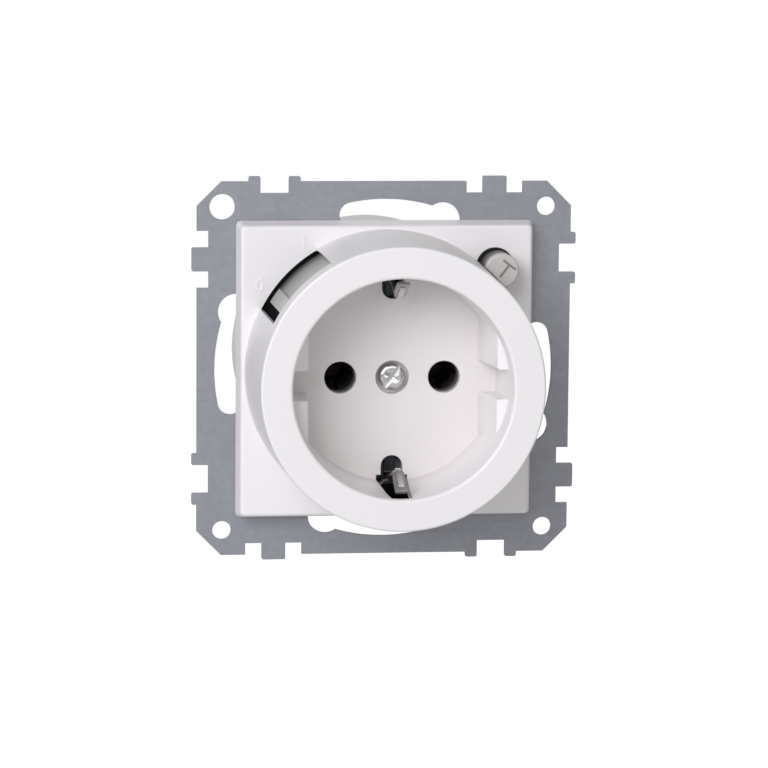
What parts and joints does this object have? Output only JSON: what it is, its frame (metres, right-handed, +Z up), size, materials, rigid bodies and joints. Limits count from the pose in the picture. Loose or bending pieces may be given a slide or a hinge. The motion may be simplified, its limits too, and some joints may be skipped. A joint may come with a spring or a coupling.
{
  "type": "type f wall socket",
  "caption": "Flush wall socket insert with a round plug recess, side earth clips, a metal support frame, a reset lever and a test button.",
  "frame": {"origin": "socket's centre on the wall plane, at the back face of the support frame", "axes": "+Z up the wall, +X to the right seen from the front, +Y into the wall, so the front faces -Y"},
  "size_m": [0.0712, 0.064, 0.0712],
  "materials": {
    "galvanised_steel": "zinc-plated, dull",
    "white_plastic": "pure white, satin gloss",
    "grey_plastic": "light grey, satin",
    "button_plastic": "warm light grey, satin",
    "insulating_plastic": "black thermoset, matt",
    "housing_plastic": "light grey thermoset, matt",
    "nickel_plated": "nickel-plated, bright",
    "spring_steel": "bright spring steel",
    "zinc_steel": "zinc-plated, bright",
    "brass": "plain brass",
    "copper_alloy": "copper alloy, plain",
    "silver_contact": "brass with silver contacts",
    "board": "green solder mask",
    "ferrite": "dark core, matt",
    "copper_winding": "enamelled copper wire",
    "blue_coating": "blue dipped coating",
    "beige_coating": "beige lacquer",
    "yellow_case": "yellow moulded case"
  },
  "bodies": {
    "insert": {"support_frame": "galvanised_steel", "cover": "white_plastic", "test_button_spring": "spring_steel", "test_contact": "copper_alloy", "centre_screw": "nickel_plated", "threaded_insert": "brass", "earth_strap": "nickel_plated", "earth_link": "copper_alloy", "contact_retainer": "insulating_plastic", "contact_carrier": "insulating_plastic", "contact_sleeve_l": "brass", "contact_sleeve_n": "brass", "load_link_l": "copper_alloy", "load_link_n": "copper_alloy", "transformer_core": "ferrite", "transformer_winding": "copper_winding", "terminal_l": "brass", "terminal_n": "brass", "terminal_pe": "brass", "terminal_screw_l": "zinc_steel", "terminal_screw_n": "zinc_steel", "terminal_screw_pe": "zinc_steel", "mains_contact_l": "silver_contact", "mains_contact_n": "silver_contact", "load_contact_l": "silver_contact", "load_contact_n": "silver_contact", "bridge_spring": "spring_steel", "relay_frame": "zinc_steel", "relay_base": "insulating_plastic", "relay_coil": "copper_winding", "circuit_board": "board", "test_resistor": "beige_coating", "varistor": "blue_coating", "capacitor": "yellow_case", "housing_base": "housing_plastic", "frame_screws": "zinc_steel"},
    "reset_lever": {"reset_lever": "grey_plastic"},
    "test_button": {"test_button": "button_plastic"},
    "contact_bridge": {"contact_bridge": "insulating_plastic", "moving_contact_l": "silver_contact", "moving_contact_n": "silver_contact"},
    "latch_lever": {"latch_lever": "insulating_plastic"},
    "trip_plunger": {"trip_plunger": "zinc_steel"}
  },
  "joints": [
    {"name": "reset_lever_turn", "type": "hinge", "parent": "insert", "child": "reset_lever", "pos_m": [0, -0.0026, 0], "axis": [0, 1, 0], "range_deg": [0, 22.5]},
    {"name": "contact_bridge_slide", "type": "slide", "parent": "insert", "child": "contact_bridge", "axis": [0, 1, 0], "range_m": [0, 0.002], "deforming": ["bridge_spring"]},
    {"name": "test_button_press", "type": "slide", "parent": "insert", "child": "test_button", "axis": [0, 1, 0], "range_m": [0, 0.0015], "stiffness_N_per_m": 300, "springref_m": -0.002, "deforming": ["test_button_spring"]},
    {"name": "trip_plunger_slide", "type": "slide", "parent": "insert", "child": "trip_plunger", "axis": [1, 0, 0], "range_m": [0, 0.0012]},
    {"name": "latch_release", "type": "hinge", "parent": "insert", "child": "latch_lever", "pos_m": [-0.0055, 0.0109, 0.0032], "axis": [0, 1, 0], "range_deg": [0, 17.65]}
  ],
  "couplings": [
    {"joint": "contact_bridge_slide", "follows": "reset_lever_turn", "m_per_rad": 0.0050925},
    {"joint": "latch_release", "follows": "trip_plunger_slide", "rad_per_m": 256.4}
  ]
}
